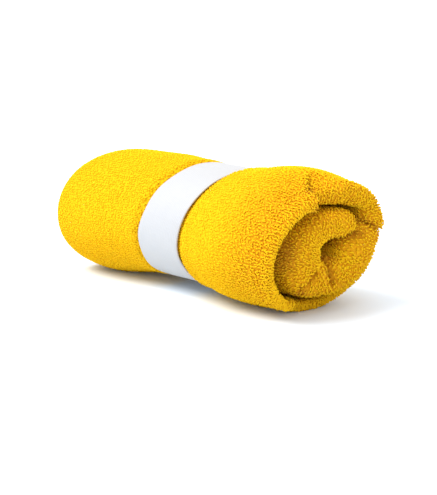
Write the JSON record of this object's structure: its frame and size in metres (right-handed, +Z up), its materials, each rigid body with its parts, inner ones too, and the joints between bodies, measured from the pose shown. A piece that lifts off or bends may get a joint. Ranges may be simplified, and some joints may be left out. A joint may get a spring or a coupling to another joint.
{
  "type": "rolled terry towel",
  "caption": "Small terry towel, folded into a thick pack, rolled up and held round its middle by a removable woven elastic band.",
  "frame": {"origin": "on the surface that the roll lies on, below the middle of the whole roll", "axes": "+X along the roll, towards the end with the folded rims; +Z up; +Y to the side where the towel's outer edge lies"},
  "size_m": [0.16, 0.0762, 0.0645],
  "materials": {
    "terry_cloth": "matte",
    "hem_thread": "matte",
    "woven_elastic": "satin",
    "band_thread": "satin"
  },
  "bodies": {
    "roll": {"towel": "terry_cloth", "hem_long_side_a": "hem_thread", "hem_long_side_b": "hem_thread", "hem_outer_short_side": "hem_thread", "hem_inner_short_side": "hem_thread"},
    "band": {"elastic_band": "woven_elastic", "band_stitch_row_a": "band_thread", "band_stitch_row_b": "band_thread"}
  },
  "joints": [
    {"name": "band_slide", "type": "slide", "parent": "roll", "child": "band", "axis": [1, 0, 0], "range_m": [-0.11, 0.11], "deforming": ["elastic_band", "band_stitch_row_a", "band_stitch_row_b"]}
  ]
}
